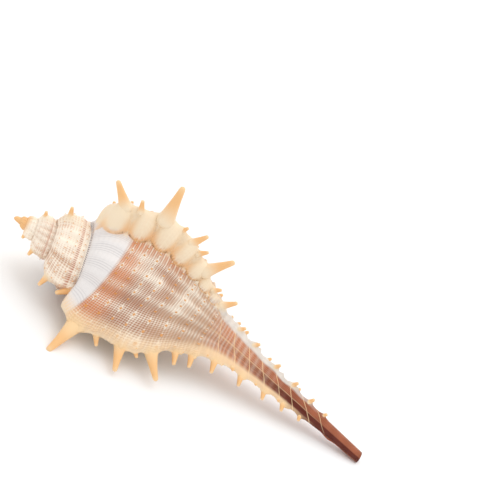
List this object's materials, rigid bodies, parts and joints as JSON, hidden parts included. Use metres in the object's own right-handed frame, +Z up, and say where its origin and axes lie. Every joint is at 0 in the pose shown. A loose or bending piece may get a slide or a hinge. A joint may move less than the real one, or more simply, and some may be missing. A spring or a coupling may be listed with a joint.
{
  "type": "murex shell",
  "caption": "Spiny murex seashell with a pointed coiled spire, rows of curved spines on thick ribs, a narrow mouth and a long thin canal, lying on its spines.",
  "frame": {"origin": "middle of the footprint box, on the surface that the shell lies on", "axes": "+X along the shell from the tip of the spire to the tip of the canal, +Y towards the third rib's spines, +Z up"},
  "size_m": [0.0998, 0.0422, 0.0407],
  "materials": {
    "shell": "satin, cream with orange-brown bands and a red-brown canal"
  },
  "bodies": {
    "root": {"murex_shell": "shell"}
  },
  "joints": []
}
